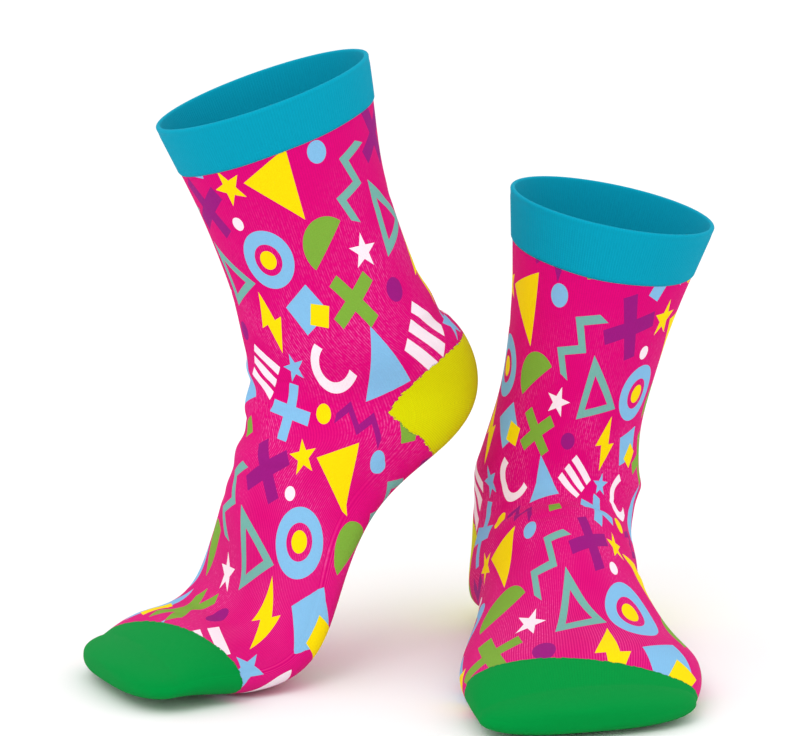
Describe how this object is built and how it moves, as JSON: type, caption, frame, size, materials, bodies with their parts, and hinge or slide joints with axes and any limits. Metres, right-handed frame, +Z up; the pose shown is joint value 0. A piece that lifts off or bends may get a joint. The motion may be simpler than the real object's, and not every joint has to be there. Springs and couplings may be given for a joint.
{
  "type": "pair of crew socks",
  "caption": "Pair of knitted crew socks, hollow as worn, the left standing flat and the right up on its toes; doubled cuffs, heel pockets and toe caps, open at the top.",
  "frame": {"origin": "middle of the left sock's cuff opening, where the wearer's leg holds the sock up", "axes": "+Z up, out of the cuff opening; the left sock's toes point to -Y and the wearer's left is +X"},
  "size_m": [0.3069, 0.2804, 0.2943],
  "materials": {
    "cuff_knit": "teal fine rib knit, matt",
    "body_knit": "magenta plain knit with a print of small geometric figures, matt",
    "heel_knit": "yellow-green plain knit, matt",
    "toe_knit": "green plain knit, matt"
  },
  "bodies": {
    "root": {"left_sock_cuff": "cuff_knit", "left_sock_leg": "body_knit", "left_sock_foot": "body_knit", "left_sock_heel": "heel_knit", "left_sock_toe": "toe_knit", "right_sock_cuff": "cuff_knit", "right_sock_leg": "body_knit", "right_sock_foot": "body_knit", "right_sock_heel": "heel_knit", "right_sock_toe": "toe_knit"}
  },
  "joints": []
}
